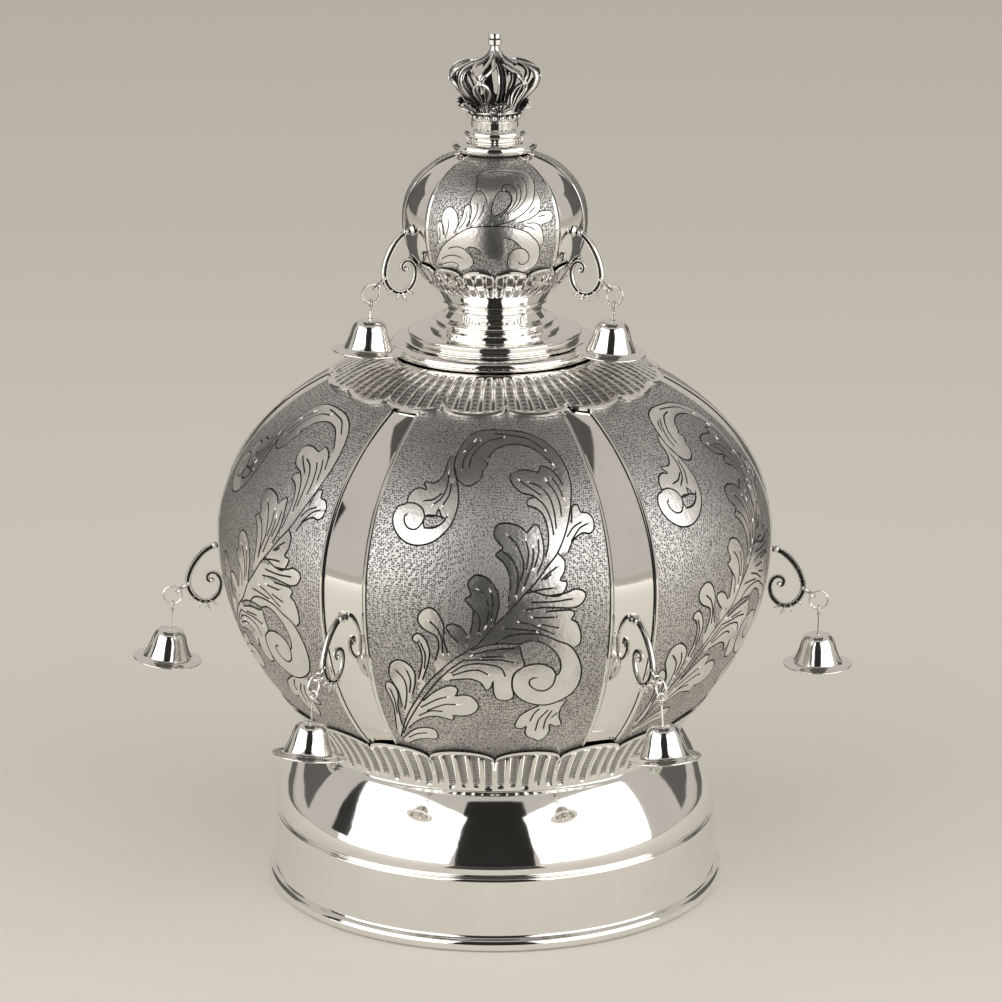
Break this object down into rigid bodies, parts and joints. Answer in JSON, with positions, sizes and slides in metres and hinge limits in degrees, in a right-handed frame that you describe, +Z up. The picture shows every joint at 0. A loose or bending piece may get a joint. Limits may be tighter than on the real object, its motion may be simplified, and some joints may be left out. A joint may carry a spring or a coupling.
{
  "type": "torah crown",
  "caption": "Silver Torah crown: hollow base ring, ribbed engraved globe, smaller globe on a turned neck, openwork crown on top and scroll arms hung with bells.",
  "frame": {"origin": "centre of the base ring's underside, on the surface the crown stands on", "axes": "+Z up along the crown's axis, -Y toward the front, +X to the viewer's right"},
  "size_m": [0.3138, 0.282, 0.3716],
  "materials": {
    "polished_silver": "mirror-polished silver",
    "chased_silver": "engraved silver with a finely punched matt ground and polished leaves",
    "cast_silver": "cast silver with darkened hollows",
    "bell_silver": "mirror-polished silver"
  },
  "bodies": {
    "root": {"base_ring": "polished_silver", "large_globe": "chased_silver", "neck_skirt": "chased_silver", "neck": "polished_silver", "small_globe": "chased_silver", "finial_stem": "polished_silver", "mini_crown": "cast_silver", "lower_arm_1": "cast_silver", "lower_ring_1": "cast_silver", "lower_hanger_1": "cast_silver", "lower_bell_1": "bell_silver", "lower_arm_2": "cast_silver", "lower_ring_2": "cast_silver", "lower_hanger_2": "cast_silver", "lower_bell_2": "bell_silver", "lower_arm_3": "cast_silver", "lower_ring_3": "cast_silver", "lower_hanger_3": "cast_silver", "lower_bell_3": "bell_silver", "lower_arm_4": "cast_silver", "lower_ring_4": "cast_silver", "lower_hanger_4": "cast_silver", "lower_bell_4": "bell_silver", "lower_arm_5": "cast_silver", "lower_ring_5": "cast_silver", "lower_hanger_5": "cast_silver", "lower_bell_5": "bell_silver", "lower_arm_6": "cast_silver", "lower_ring_6": "cast_silver", "lower_hanger_6": "cast_silver", "lower_bell_6": "bell_silver", "upper_arm_1": "cast_silver", "upper_ring_1": "cast_silver", "upper_hanger_1": "cast_silver", "upper_bell_1": "bell_silver", "upper_arm_2": "cast_silver", "upper_ring_2": "cast_silver", "upper_hanger_2": "cast_silver", "upper_bell_2": "bell_silver", "upper_arm_3": "cast_silver", "upper_ring_3": "cast_silver", "upper_hanger_3": "cast_silver", "upper_bell_3": "bell_silver"}
  },
  "joints": []
}
